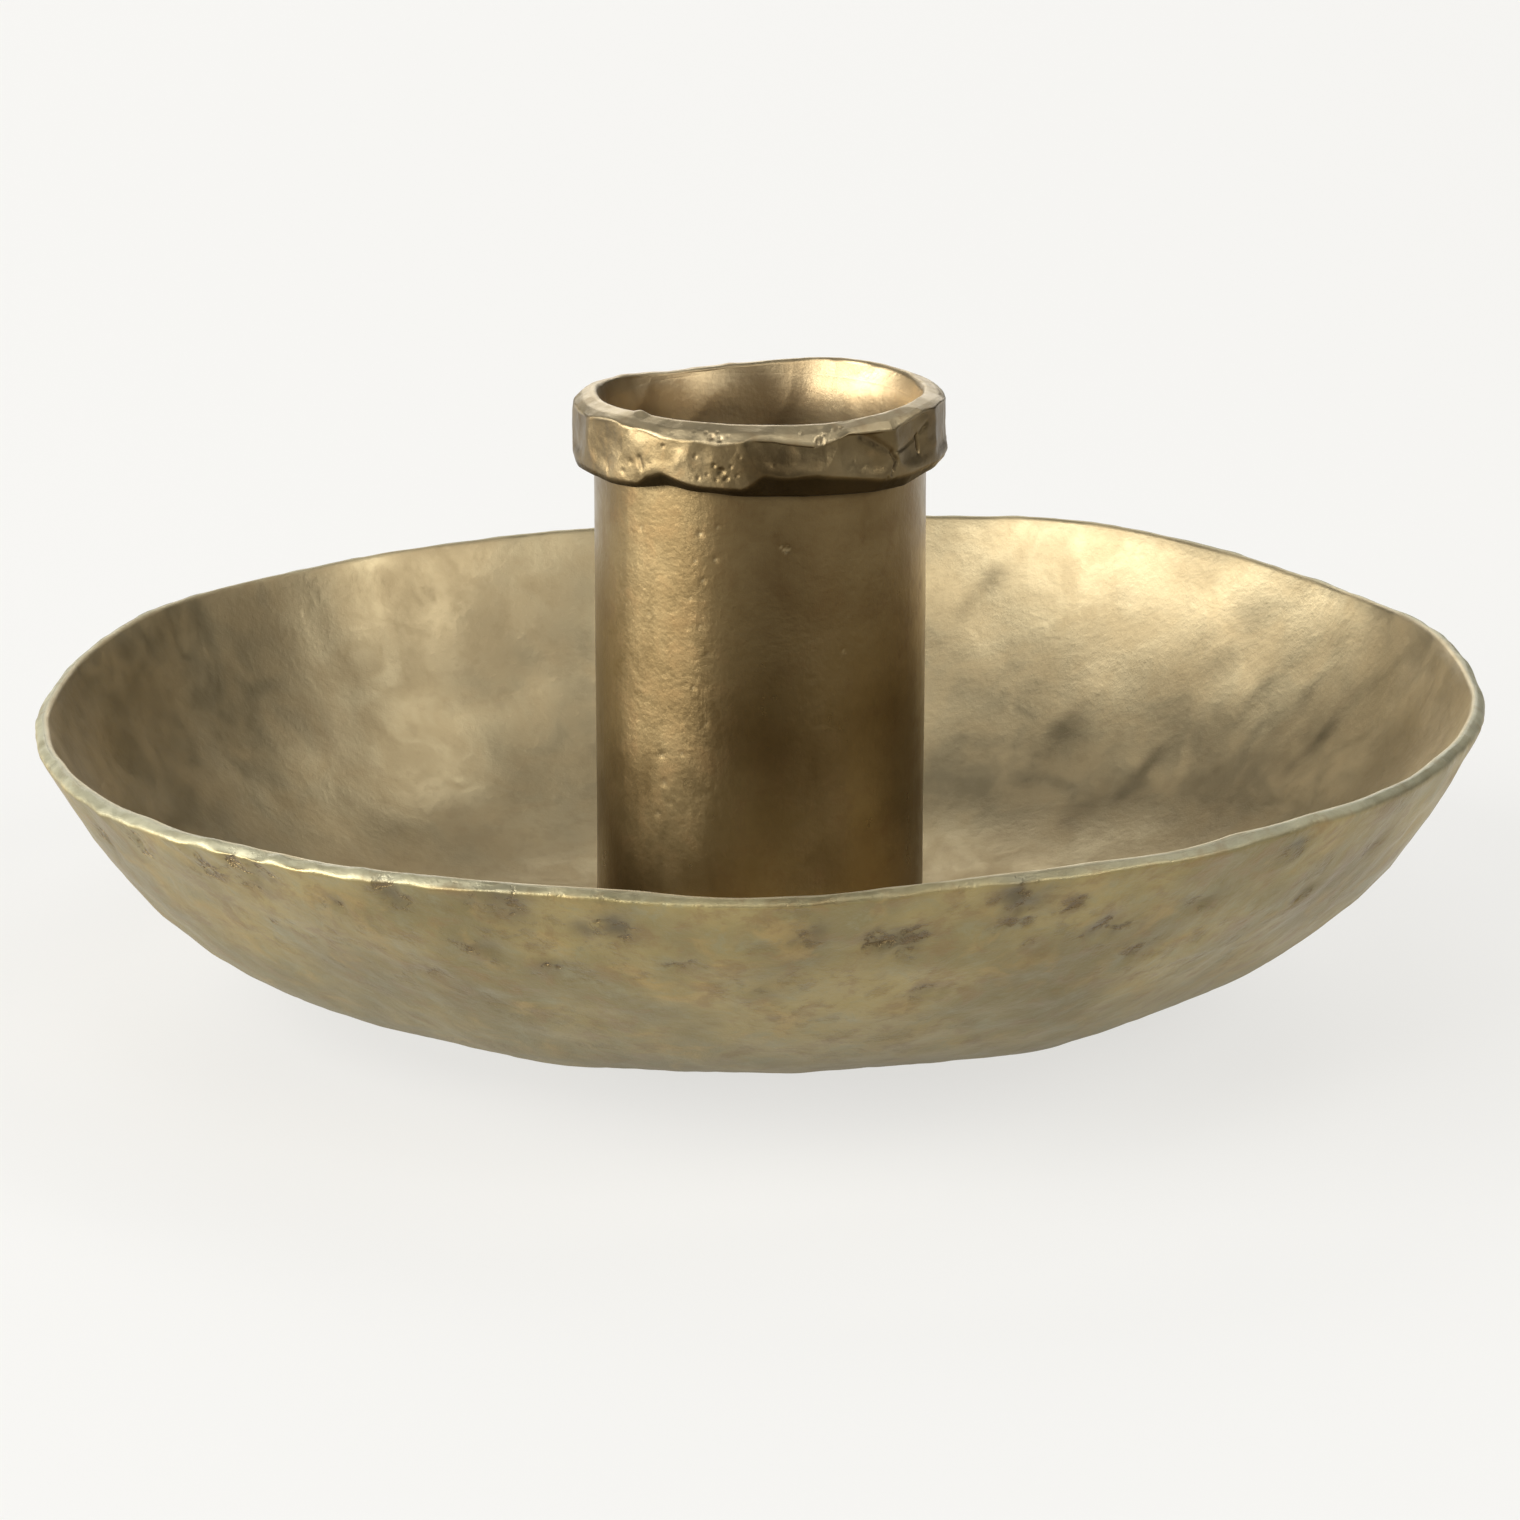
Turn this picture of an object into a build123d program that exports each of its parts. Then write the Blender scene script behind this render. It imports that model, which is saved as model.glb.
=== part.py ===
from build123d import *
import math
import os

os.makedirs("parts", exist_ok=True)

# A hand-hammered brass dish with a tube socket for a dinner candle, and a hammered collar round
# the socket's mouth. Millimetres, +Z up. The origin is on the socket's axis, at the underside of
# the felt disc that it stands on.

# Socket tube: one-inch tube, bored for a standard 22 mm dinner candle
tube_radius = 12.7
tube_wall = 1.2
bore_radius = tube_radius - tube_wall

# Dish, beaten from sheet. Heights are above its flat underside.
sheet = 1.4
rim_radius = 55.8  # outer edge of the rim
foot_radius = 17.0  # flat middle that the felt covers
rim_edge_width = 1.25  # the rim is cut square to the leaning wall,
rim_edge_drop = 0.7  # so its outer edge is lower than its inner one
# Height of the rim's inner edge every 15 degrees, counter-clockwise from +X
rim_heights = [
    24.8, 25.3, 25.0, 25.45, 25.9, 25.1, 24.4, 24.0, 23.9, 23.75, 24.1, 23.7,
    22.95, 22.75, 22.6, 23.3, 23.7, 24.1, 24.15, 24.6, 24.7, 24.85, 24.6, 24.85,
]
# How sharply the wall turns up, every 45 degrees: 2 is an even bowl, 4 a flat plate with a steep wall
wall_turns = [3.3, 3.0, 2.6, 3.0, 3.6, 2.3, 2.0, 2.25]
outer_levels = [0, 0.4, 1.6, 4, 8, 13, 19, 27.5]  # heights of the sections that shape the wall
section_points = 24  # of each closed spline

# Boss pressed up in the middle of the dish: it centres the tube and hides the screw's head
boss_rise = 3.8
boss_foot_radius = 10.6
boss_top_radius = 7.9
boss_side_inset = 1.72  # the same slope, one sheet thickness further in
boss_overlap = 0.7  # how far the boss's foot runs out under the inner face, to join the sheet
screw_clearance_radius = 2.2

# Collar: a hammered strip round the tube's mouth, dressed inwards over the tube's end
collar_radius = 14.3
collar_lip_radius = 12.4
lip_slope = 0.55  # fall of the collar's top face per millimetre outwards
tube_top = 46.2
flare_height = 6.0  # of the cone that opens the mouth, which runs out above the lip
# Outer radius every 30 degrees of the struck faces, low, at the middle and high on the strip
collar_low = [14.1, 14.0, 14.25, 14.1, 14.0, 14.2, 14.15, 14.0, 14.2, 14.05, 14.0, 14.2]
collar_middle = [14.4, 14.2, 14.3, 14.4, 14.2, 14.25, 14.4, 14.25, 14.4, 14.3, 14.2, 14.4]
collar_high = [14.3, 14.35, 14.2, 14.3, 14.3, 14.15, 14.3, 14.35, 14.2, 14.3, 14.35, 14.25]
# The heights that these radii are at. The first and last are beyond the trimmed edges.
collar_sections = {
    41.0: collar_low,
    43.0: collar_low,
    45.0: collar_middle,
    46.5: collar_high,
    50.0: collar_high,
}
# Heights every 30 degrees of the lip's inner edge and of the strip's lower edge
lip_heights = [47.5, 47.6, 47.6, 47.15, 46.8, 47.05, 47.6, 47.6, 47.4, 47.6, 47.7, 47.5]
hem_heights = [42.6, 42.5, 42.4, 42.3, 42.5, 42.4, 42.4, 42.5, 42.3, 42.35, 41.9, 42.4]

# Plug brazed in the tube under a shoulder. The candle stands on it, and the screw from below is
# tapped into it.
plug_radius = 11.8
plug_thickness = 7.5
plug_gap = 0.3  # left above the boss, so that the screw clamps the tube down on the dish
plug_hole_depth = 6.2

# M4 slotted cheese-head screw, 8 mm long, with a plain washer
screw_radius = 2.0
screw_length = 8.0
head_radius = 3.5
head_height = 2.6
head_rounding = 0.4
point_chamfer = 0.4
slot_width = 1.2
slot_depth = 1.1
washer_radius = 4.5
washer_hole_radius = 2.15
washer_thickness = 0.8

# Felt disc glued under the dish
felt_thickness = 1.2
felt_radius = 16.5

base = felt_thickness  # the dish's underside
plug_bottom = boss_rise + sheet + plug_gap

# The wavy faces that trim the edges: how far they run past an edge, and how far they cut
trim_margin = 3.0
trim_depth = 60.0
trim_points = 37  # along each side of a wavy face
trim_tolerance = 0.005


def smooth(values, angle):
    """The value at an angle in degrees, on a smooth closed curve through evenly spaced values."""
    place = (angle % 360) / 360 * len(values)
    i = int(place)
    t = place - i
    a, b, c, d = (values[(i + k) % len(values)] for k in (-1, 0, 1, 2))
    return b + t / 2 * (c - a + t * (2 * a - 5 * b + 4 * c - d + t * (3 * (b - c) + d - a)))


def wall_radius(level, angle, floor, edge_radius, edge_drop):
    """Radius of the dish's wall at a height. The inner face has its floor one sheet up."""
    rise = smooth(rim_heights, angle) - edge_drop - floor
    share = ((level - floor) / rise) ** (1 / smooth(wall_turns, angle))
    return foot_radius + (edge_radius - foot_radius) * share


def closed_curve(radius_at):
    """Points for a closed spline round the axis, with radius_at(angle) as its radius."""
    points = []
    for i in range(section_points):
        angle = 360 * i / section_points
        turn = math.radians(angle)
        points.append((radius_at(angle) * math.cos(turn), radius_at(angle) * math.sin(turn)))
    return points


def wavy_face(heights, radius, slope):
    """A face that follows the heights at the radius, and falls outwards there by the slope."""
    middle = sum(heights) / len(heights)
    reach = radius + 2 * trim_margin
    steps = [reach * (2 * i / (trim_points - 1) - 1) for i in range(trim_points)]

    def height(x, y):
        share = math.hypot(x, y) / radius
        wave = smooth(heights, math.degrees(math.atan2(y, x))) - middle
        return base + middle + wave * share**2 - slope * radius * (share**2 - 1) / 2

    grid = [[(x, y, height(x, y)) for y in steps] for x in steps]
    return Face.make_surface_from_array_of_points(grid, tol=trim_tolerance)


# Faces that trim the dish's rim, the collar's top and its lower edge
inner_edge = rim_radius - rim_edge_width
rim_trim = wavy_face(rim_heights, inner_edge, rim_edge_drop / rim_edge_width)
lip_trim = wavy_face(lip_heights, collar_lip_radius, lip_slope)
hem_trim = wavy_face(hem_heights, collar_radius, 0)

with BuildPart() as dish:
    for level in outer_levels:
        with BuildSketch(Plane.XY.offset(base + level)):
            with BuildLine():
                Spline(
                    closed_curve(lambda a: wall_radius(level, a, 0, rim_radius, rim_edge_drop)),
                    periodic=True,
                )
            make_face()
    loft()
    for level in outer_levels:
        with BuildSketch(Plane.XY.offset(base + sheet + level)):
            with BuildLine():
                Spline(
                    closed_curve(lambda a: wall_radius(sheet + level, a, sheet, inner_edge, 0)),
                    periodic=True,
                )
            make_face()
    loft(mode=Mode.SUBTRACT)
    extrude(rim_trim, amount=trim_depth, dir=(0, 0, 1), mode=Mode.SUBTRACT)
    with BuildSketch(Plane.XZ):
        with BuildLine():
            Polyline(
                (0, base + sheet / 2),
                (boss_foot_radius + boss_overlap, base + sheet / 2),
                (boss_foot_radius, base + sheet),
                (boss_top_radius, base + sheet + boss_rise),
                (0, base + sheet + boss_rise),
                close=True,
            )
        make_face()
    revolve(axis=Axis.Z)
    with BuildSketch(Plane.XZ):
        with BuildLine():
            slant = (boss_foot_radius - boss_top_radius) / boss_rise
            recess_foot = boss_foot_radius + slant * sheet - boss_side_inset
            Polyline(
                (0, base),
                (recess_foot, base),
                (recess_foot - slant * boss_rise, base + boss_rise),
                (0, base + boss_rise),
                close=True,
            )
        make_face()
    revolve(axis=Axis.Z, mode=Mode.SUBTRACT)
    with BuildSketch(Plane.XY.offset(base)):
        Circle(screw_clearance_radius)
    extrude(amount=boss_rise + 2 * sheet, mode=Mode.SUBTRACT)
dish.part.label = "dish"

with BuildPart() as cup_tube:
    with BuildSketch(Plane.XY.offset(base + sheet)):
        Circle(tube_radius)
        Circle(bore_radius, mode=Mode.SUBTRACT)
    extrude(amount=tube_top - sheet)
    with BuildSketch(Plane.XY.offset(base + sheet)):
        Circle(plug_radius)
    extrude(amount=plug_bottom + plug_thickness - sheet, mode=Mode.SUBTRACT)
cup_tube.part.label = "cup_tube"

with BuildPart() as rim_collar:
    for level, radii in collar_sections.items():
        with BuildSketch(Plane.XY.offset(base + level)):
            with BuildLine():
                Spline(closed_curve(lambda a: smooth(radii, a)), periodic=True)
            make_face()
    loft()
    extrude(lip_trim, amount=trim_depth, dir=(0, 0, 1), mode=Mode.SUBTRACT)
    extrude(hem_trim, amount=trim_depth, dir=(0, 0, -1), mode=Mode.SUBTRACT)
    with BuildSketch(Plane.XY.offset(base)):
        Circle(tube_radius)
    extrude(amount=tube_top, mode=Mode.SUBTRACT)
    mean_lip_height = sum(lip_heights) / len(lip_heights)
    flare = (collar_lip_radius - bore_radius) / (mean_lip_height - tube_top)
    with BuildSketch(Plane.XZ):
        with BuildLine():
            Polyline(
                (0, base + tube_top),
                (bore_radius, base + tube_top),
                (bore_radius + flare * flare_height, base + tube_top + flare_height),
                (0, base + tube_top + flare_height),
                close=True,
            )
        make_face()
    revolve(axis=Axis.Z, mode=Mode.SUBTRACT)
rim_collar.part.label = "rim_collar"

with BuildPart() as cup_floor:
    with BuildSketch(Plane.XY.offset(base + plug_bottom)):
        Circle(plug_radius)
    extrude(amount=plug_thickness)
    with BuildSketch(Plane.XY.offset(base + plug_bottom)):
        Circle(screw_radius)
    extrude(amount=plug_hole_depth, mode=Mode.SUBTRACT)
cup_floor.part.label = "cup_floor"

with BuildPart() as washer:
    with BuildSketch(Plane.XY.offset(base + boss_rise - washer_thickness)):
        Circle(washer_radius)
        Circle(washer_hole_radius, mode=Mode.SUBTRACT)
    extrude(amount=washer_thickness)
washer.part.label = "washer"

with BuildPart() as fixing_screw:
    head_top = base + boss_rise - washer_thickness
    with BuildSketch(Plane.XY.offset(head_top - head_height)):
        Circle(head_radius)
    extrude(amount=head_height)
    fillet(fixing_screw.edges().sort_by(Axis.Z)[0], radius=head_rounding)
    with BuildSketch(Plane.XY.offset(head_top)):
        Circle(screw_radius)
    extrude(amount=screw_length)
    chamfer(fixing_screw.edges().sort_by(Axis.Z)[-1], length=point_chamfer)
    with BuildSketch(Plane.XY.offset(head_top - head_height)):
        Rectangle(2 * head_radius, slot_width)
    extrude(amount=slot_depth, mode=Mode.SUBTRACT)
fixing_screw.part.label = "fixing_screw"

with BuildPart() as felt_disc:
    with BuildSketch():
        Circle(felt_radius)
    extrude(amount=felt_thickness)
felt_disc.part.label = "felt_disc"

for piece in (dish, cup_tube, rim_collar, cup_floor, washer, fixing_screw, felt_disc):
    export_step(piece.part, f"parts/{piece.part.label}.step")
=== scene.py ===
import math

import bpy
import numpy as np
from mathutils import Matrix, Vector
from mathutils.bvhtree import BVHTree


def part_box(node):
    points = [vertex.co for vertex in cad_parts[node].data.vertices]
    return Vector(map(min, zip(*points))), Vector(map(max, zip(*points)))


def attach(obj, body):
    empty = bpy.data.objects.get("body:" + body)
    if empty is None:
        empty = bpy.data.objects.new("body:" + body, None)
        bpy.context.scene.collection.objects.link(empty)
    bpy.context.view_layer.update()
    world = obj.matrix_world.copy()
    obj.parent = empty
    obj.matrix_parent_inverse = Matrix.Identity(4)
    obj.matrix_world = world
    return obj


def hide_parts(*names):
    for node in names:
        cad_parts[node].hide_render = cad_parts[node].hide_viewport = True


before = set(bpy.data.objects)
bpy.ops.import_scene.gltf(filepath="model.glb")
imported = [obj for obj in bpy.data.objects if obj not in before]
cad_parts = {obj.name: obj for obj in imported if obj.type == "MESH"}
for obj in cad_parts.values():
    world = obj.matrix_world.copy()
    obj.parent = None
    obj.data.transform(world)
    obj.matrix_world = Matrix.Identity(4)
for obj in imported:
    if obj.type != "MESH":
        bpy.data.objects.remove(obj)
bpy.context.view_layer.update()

# A hammered brass dish with a socket tube and a ragged collar. Lengths in this script are in millimetres
# until mesh points are written in metres. Angles are in degrees, counter-clockwise from +X. The camera
# looks along +Y.
MM = 0.001

# Sizes of the frame's parts
HOLE_RADIUS = 2.2
BOSS_FOOT_RADIUS = 10.6
FLAT_RADIUS = 17.0
RIM_INNER_RADIUS = 54.55
RIM_OUTER_RADIUS = 55.8
TUBE_RADIUS = 12.7
BORE_RADIUS = 11.5
PLUG_RADIUS = 11.8

# The mouth's inner wall is shared by the tube and the collar. Each one's skin runs on past their joint
# by TUCK, where it lies BEHIND the other's, so that no gap shows. The flare opens the mouth.
TUCK = 0.3
BEHIND = 0.05
FLARE_START = 44.4
FLARE_HEIGHT = 4.2
FLARE_WIDTH = 0.9

# Fineness of the meshes: azimuths round the axis
PROBE_AZIMUTHS = 72
DISH_AZIMUTHS = 600
TUBE_AZIMUTHS = 400
COLLAR_AZIMUTHS = 900
PLUG_AZIMUTHS = 180
FELT_AZIMUTHS = 480


# ---------------------------------------------------------------- shape tools


def node_box(node):
    """A CAD node's lowest and highest corners, in millimetres."""
    low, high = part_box(node)
    return np.array(low) / MM, np.array(high) / MM


def node_heights(node, radii, downwards):
    """Heights of a CAD node's upper or lower face, a row for each radius, at even azimuths."""
    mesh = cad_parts[node].data
    tree = BVHTree.FromPolygons([v.co for v in mesh.vertices], [p.vertices for p in mesh.polygons])
    way = -1 if downwards else 1
    rows = []
    for radius in radii:
        row = []
        for turn in np.arange(PROBE_AZIMUTHS) * 2 * math.pi / PROBE_AZIMUTHS:
            start = Vector((radius * math.cos(turn), radius * math.sin(turn), -100 * way)) * MM
            row.append(tree.ray_cast(start, Vector((0, 0, way)))[0].z / MM)
        rows.append(row)
    return np.array(rows)


def rounded_up(rows, count):
    """Rows of values at even azimuths, on smooth closed curves through them, at more azimuths."""
    known = rows.shape[-1]
    place = np.arange(count) * known / count
    i = place.astype(int)
    t = place - i
    a, b, c, d = (rows[..., (i + k) % known] for k in (-1, 0, 1, 2))
    return b + t / 2 * (c - a + t * (2 * a - 5 * b + 4 * c - d + t * (3 * (b - c) + d - a)))


def along_azimuths(table, count, softness):
    """Values at even azimuths from a short table of (azimuth, value), eased over a few degrees."""
    azimuths, values = np.array(sorted((a % 360, v) for a, v in table)).T
    row = np.interp(np.arange(count) * 360 / count, azimuths, values, period=360)
    reach = max(1, round(softness * count / 360))
    return sum(np.roll(row, k) for k in range(-reach, reach + 1)) / (2 * reach + 1)


def ring_points(radii, heights, count):
    """Points of rings round the axis. Radii and heights are a number or a row for each ring."""
    turns = np.arange(count) * 2 * math.pi / count
    radii, heights = (np.asarray(v, float).reshape(len(v), -1) * np.ones(count) for v in (radii, heights))
    return np.stack([radii * np.cos(turns), radii * np.sin(turns), heights], axis=-1)


def ring_normals(rings, closed=True):
    """Unit normals of a skin over rings. They face out of the metal where the rings run up its outside."""
    if closed:
        along = np.roll(rings, -1, 0) - np.roll(rings, 1, 0)
    else:
        along = np.gradient(rings, axis=0)
    around = np.roll(rings, -1, 1) - np.roll(rings, 1, 1)
    normals = np.cross(around, along)
    return normals / np.maximum(np.linalg.norm(normals, axis=-1, keepdims=True), 1e-9)


def eased(x):
    """0 below 0, 1 above 1, and a smooth step between."""
    x = np.clip(x, 0, 1)
    return x * x * (3 - 2 * x)


def softened(rows, times=1):
    """Rows blended with the rows next to them; the first and last stay."""
    for _ in range(times):
        rows = rows.copy()
        rows[1:-1] = (rows[:-2] + 2 * rows[1:-1] + rows[2:]) / 4
    return rows


def lumps(points, size, seed, octaves=1):
    """Smooth random values, about -1 to 1, in lumps of a size, with finer ones added at half strength."""
    side = 32
    total = 0
    for octave in range(octaves):
        rng = np.random.default_rng(seed + octave)
        lattice = rng.uniform(-1, 1, (side,) * 3)
        turn = np.linalg.qr(rng.normal(size=(3, 3)))[0]
        place = points @ turn / (size / 2**octave) + 500
        corner = np.floor(place).astype(int)
        t = eased(place - corner)
        value = 0
        for step in np.ndindex(2, 2, 2):
            weight = np.prod(np.where(step, t, 1 - t), axis=-1)
            value = value + weight * lattice[tuple(((corner + step) % side)[..., k] for k in range(3))]
        total = total + 1.6 * value / 2**octave
    return total


def scattered(rings, spacing, seed, tries=6000):
    """Points of a skin picked at random, none closer together than the spacing."""
    flat = rings.reshape(-1, 3)
    picked = np.full((1, 3), 1e6)
    for i in np.random.default_rng(seed).integers(len(flat), size=tries):
        if ((picked - flat[i]) ** 2).sum(1).min() > spacing**2:
            picked = np.vstack([picked, flat[i]])
    return picked[1:]


def bowls(points, centres, radii, depths, softness=0.04):
    """Depth at each point of overlapping round dents, where the deepest one wins softly."""
    total = np.ones(points.shape[:-1])
    for centre, radius, depth in zip(centres, radii, depths):
        share = ((points - centre) ** 2).sum(-1) / radius**2
        near = share < 1
        total[near] += np.expm1(depth * (1 - share[near]) / softness)
    return softness * np.log(total)


def planed(points, centres, normals, depths, softness=0.05):
    """Depth at each point of flats hammered on a curved face, where the deepest one wins softly."""
    total = np.ones(points.shape[:-1])
    for centre, normal, depth in zip(centres, normals, depths):
        total += np.expm1(np.clip((points - centre) @ normal + depth, 0, 1) / softness)
    return softness * np.log(total)


def facing(azimuth, elevation=0.0):
    """The unit vector that points along an azimuth and an elevation."""
    a, e = math.radians(azimuth), math.radians(elevation)
    return np.array([math.cos(a) * math.cos(e), math.sin(a) * math.cos(e), math.sin(e)])


def on_skin(rings, azimuth, value, by_height=False):
    """The point of a skin nearest to an azimuth and a radius, or to an azimuth and a height."""
    count = rings.shape[1]
    column = rings[:, round(azimuth % 360 / 360 * count) % count]
    measure = column[:, 2] if by_height else np.hypot(column[:, 0], column[:, 1])
    return column[np.abs(measure - value).argmin()]


def mark(points, centre, size):
    """A soft round mark, 1 at its centre and 0 beyond about twice its size."""
    return np.exp(-((points - centre) ** 2).sum(-1) / size**2)


def groove(points, path, width):
    """1 along a path of straight runs and 0 away from it."""
    nearest = np.full(points.shape[:-1], 1e6)
    for a, b in zip(path, path[1:]):
        run = b - a
        t = np.clip(((points - a) @ run) / (run @ run), 0, 1)
        nearest = np.minimum(nearest, ((points - a - t[..., None] * run) ** 2).sum(-1))
    return np.exp(-nearest / width**2)


def ring_faces(at, closed):
    """Four-sided faces between rings, from the numbers of their points."""
    low, high = (at, np.roll(at, -1, 0)) if closed else (at[:-1], at[1:])
    quads = np.stack([low, np.roll(low, -1, 1), np.roll(high, -1, 1), high], axis=-1)
    return quads.reshape(-1, 4).tolist()


def cap_faces(at, first, last):
    """Three-sided faces from the first and the last ring to a point in the middle of each."""
    around = at.shape[1]
    faces = []
    for i in range(around):
        k = (i + 1) % around
        faces.append([int(at[0, i]), first, int(at[0, k])])
        faces.append([int(at[-1, k]), last, int(at[-1, i])])
    return faces


def ring_mesh(name, rings, closed=True, flat_rows=(), **fields):
    """A piece skinned over rings of points. A closed one joins its last ring to its first; otherwise its
    two ends are capped. The faces after a flat row's ring aren't smoothed into the ones beside them.
    Fields are a value for each point, kept for the material."""
    count, around = rings.shape[:2]
    points = rings.reshape(-1, 3)
    at = np.arange(count * around).reshape(count, around)
    faces = ring_faces(at, closed)
    if not closed:
        points = np.vstack([points, rings[0].mean(0), rings[-1].mean(0)])
        faces += cap_faces(at, len(points) - 2, len(points) - 1)
    mesh = bpy.data.meshes.new(name)
    mesh.from_pydata((points * MM).tolist(), [], faces)
    smooth = np.ones(len(faces), bool)
    for row in flat_rows:
        smooth[row * around : (row + 1) * around] = False
    mesh.polygons.foreach_set("use_smooth", smooth)
    for field, values in fields.items():
        listed = np.zeros(len(points), np.float32)
        listed[: count * around] = np.broadcast_to(values, (count, around)).reshape(-1)
        mesh.attributes.new(field, "FLOAT", "POINT").data.foreach_set("value", listed)
    piece = bpy.data.objects.new(name, mesh)
    bpy.context.scene.collection.objects.link(piece)
    return piece


def struck_marks(skin, listed, spacing, seed, size_range, depth_range, tries=6000, by_height=False):
    """Centres, sizes and depths of marks scattered over a skin, followed by the listed ones."""
    centres = scattered(skin, spacing, seed, tries)
    rng = np.random.default_rng(seed + 1)
    sizes = rng.uniform(*size_range, len(centres))
    depths = rng.uniform(*depth_range, len(centres))
    placed = [on_skin(skin, azimuth, value, by_height) for azimuth, value, _, _ in listed]
    centres = np.vstack([centres, placed])
    sizes = np.append(sizes, [size for _, _, size, _ in listed])
    depths = np.append(depths, [depth for _, _, _, depth in listed])
    return centres, sizes, depths


# ---------------------------------------------------------------- material tools


class Finish:
    """A material's nodes. Each call adds one node and returns its output; sizes are in millimetres."""

    def __init__(self, name):
        self.material = bpy.data.materials.new(name)
        self.material.use_nodes = True
        self.tree = self.material.node_tree
        self.shader = self.tree.nodes["Principled BSDF"]
        place = self.tree.nodes.new("ShaderNodeMapping")
        place.inputs["Scale"].default_value = (1 / MM,) * 3
        source = self.tree.nodes.new("ShaderNodeTexCoord")
        self.tree.links.new(source.outputs["Object"], place.inputs["Vector"])
        self.place = place.outputs["Vector"]

    def put(self, socket, value):
        if isinstance(value, bpy.types.NodeSocket):
            self.tree.links.new(value, socket)
        elif isinstance(value, tuple) and len(value) == 3 and socket.type == "RGBA":
            socket.default_value = (*value, 1)
        else:
            socket.default_value = value

    def noise(self, size, detail=3.0, roughness=0.5, distortion=0.0, place=None):
        node = self.tree.nodes.new("ShaderNodeTexNoise")
        self.put(node.inputs["Vector"], place or self.place)
        self.put(node.inputs["Scale"], 1 / size)
        self.put(node.inputs["Detail"], detail)
        self.put(node.inputs["Roughness"], roughness)
        self.put(node.inputs["Distortion"], distortion)
        return node.outputs["Fac"]

    def stretched(self, x, y, z):
        node = self.tree.nodes.new("ShaderNodeMapping")
        self.put(node.inputs["Vector"], self.place)
        node.inputs["Scale"].default_value = (x, y, z)
        return node.outputs["Vector"]

    def field(self, name):
        node = self.tree.nodes.new("ShaderNodeAttribute")
        node.attribute_name = name
        return node.outputs["Fac"]

    def span(self, value, low, high, to_low=0.0, to_high=1.0):
        """The value carried from one range to another, smoothly, and held at its ends."""
        node = self.tree.nodes.new("ShaderNodeMapRange")
        node.interpolation_type = "SMOOTHSTEP"
        for socket, item in zip(node.inputs[:5], (value, low, high, to_low, to_high)):
            self.put(socket, item)
        return node.outputs["Result"]

    def maths(self, operation, a, b):
        node = self.tree.nodes.new("ShaderNodeMath")
        node.operation = operation
        self.put(node.inputs[0], a)
        self.put(node.inputs[1], b)
        return node.outputs["Value"]

    def times(self, a, b):
        return self.maths("MULTIPLY", a, b)

    def plus(self, a, b):
        return self.maths("ADD", a, b)

    def blend(self, share, a, b):
        """Colour a where the share is 0, and colour b where it is 1."""
        node = self.tree.nodes.new("ShaderNodeMix")
        node.data_type = "RGBA"
        self.put(node.inputs["Factor"], share)
        self.put(node.inputs["A"], a)
        self.put(node.inputs["B"], b)
        return node.outputs["Result"]

    def bump(self, height, depth, below=None):
        """A bump of a depth in millimetres, on top of another one."""
        node = self.tree.nodes.new("ShaderNodeBump")
        self.put(node.inputs["Height"], height)
        self.put(node.inputs["Distance"], depth * MM)
        self.put(node.inputs["Strength"], 1.0)
        if below is not None:
            self.put(node.inputs["Normal"], below)
        return node.outputs["Normal"]

    def wear(self, **sockets):
        """Sets the shader's sockets, by their names with spaces as underscores."""
        for name, value in sockets.items():
            self.put(self.shader.inputs[name.replace("_", " ")], value)
        return self.material


def finish_of(piece, material):
    piece.data.materials.clear()
    piece.data.materials.append(material)


# ---------------------------------------------------------------- dish

WALL_SLOPE = 1.9  # of the dish's wall at its rim
WALL_TURN = 1.6  # how late the wall turns up
# Rings over the boss, and over the rest of the upper and the lower face
BOSS_RINGS = 15
UPPER_RINGS = 58
LOWER_RINGS = 68


def even_radii(start, stop, count):
    """Radii of rings that lie evenly along the wall, whose slope grows from the flat to the rim."""
    fine = np.linspace(start, stop, 400)
    slope = WALL_SLOPE * np.clip((fine - FLAT_RADIUS) / (RIM_OUTER_RADIUS - FLAT_RADIUS), 0, 1) ** WALL_TURN
    length = np.concatenate([[0], np.cumsum(np.hypot(1, slope[1:]) * np.diff(fine))])
    return np.interp(np.linspace(0, length[-1], count), length, fine)


def bend(start, corner, end, steps):
    """Points that round a corner between two points, each (radii, heights)."""
    rows = []
    for t in np.linspace(0, 1, steps):
        weights = ((1 - t) ** 2, 2 * t * (1 - t), t * t)
        rows.append([sum(w * p[k] for w, p in zip(weights, (start, corner, end))) for k in (0, 1)])
    return rows


def dish_face(radii, downwards):
    """Heights of the dish's upper or lower face, a row for each radius."""
    return rounded_up(softened(node_heights("dish", radii, downwards)), DISH_AZIMUTHS)


def rim_corners():
    """The rim's inner and outer edges, each (radii, heights), where its top face would meet the walls."""
    radii = np.array([RIM_INNER_RADIUS + 0.2, RIM_OUTER_RADIUS - 0.2])
    face = rounded_up(node_heights("dish", radii, downwards=True), DISH_AZIMUTHS)
    slope = (face[1] - face[0]) / (radii[1] - radii[0])
    corners = []
    for radius in (RIM_INNER_RADIUS, RIM_OUTER_RADIUS):
        corners.append(np.array([np.full(DISH_AZIMUTHS, radius), face[0] + slope * (radius - radii[0])]))
    return corners


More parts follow.
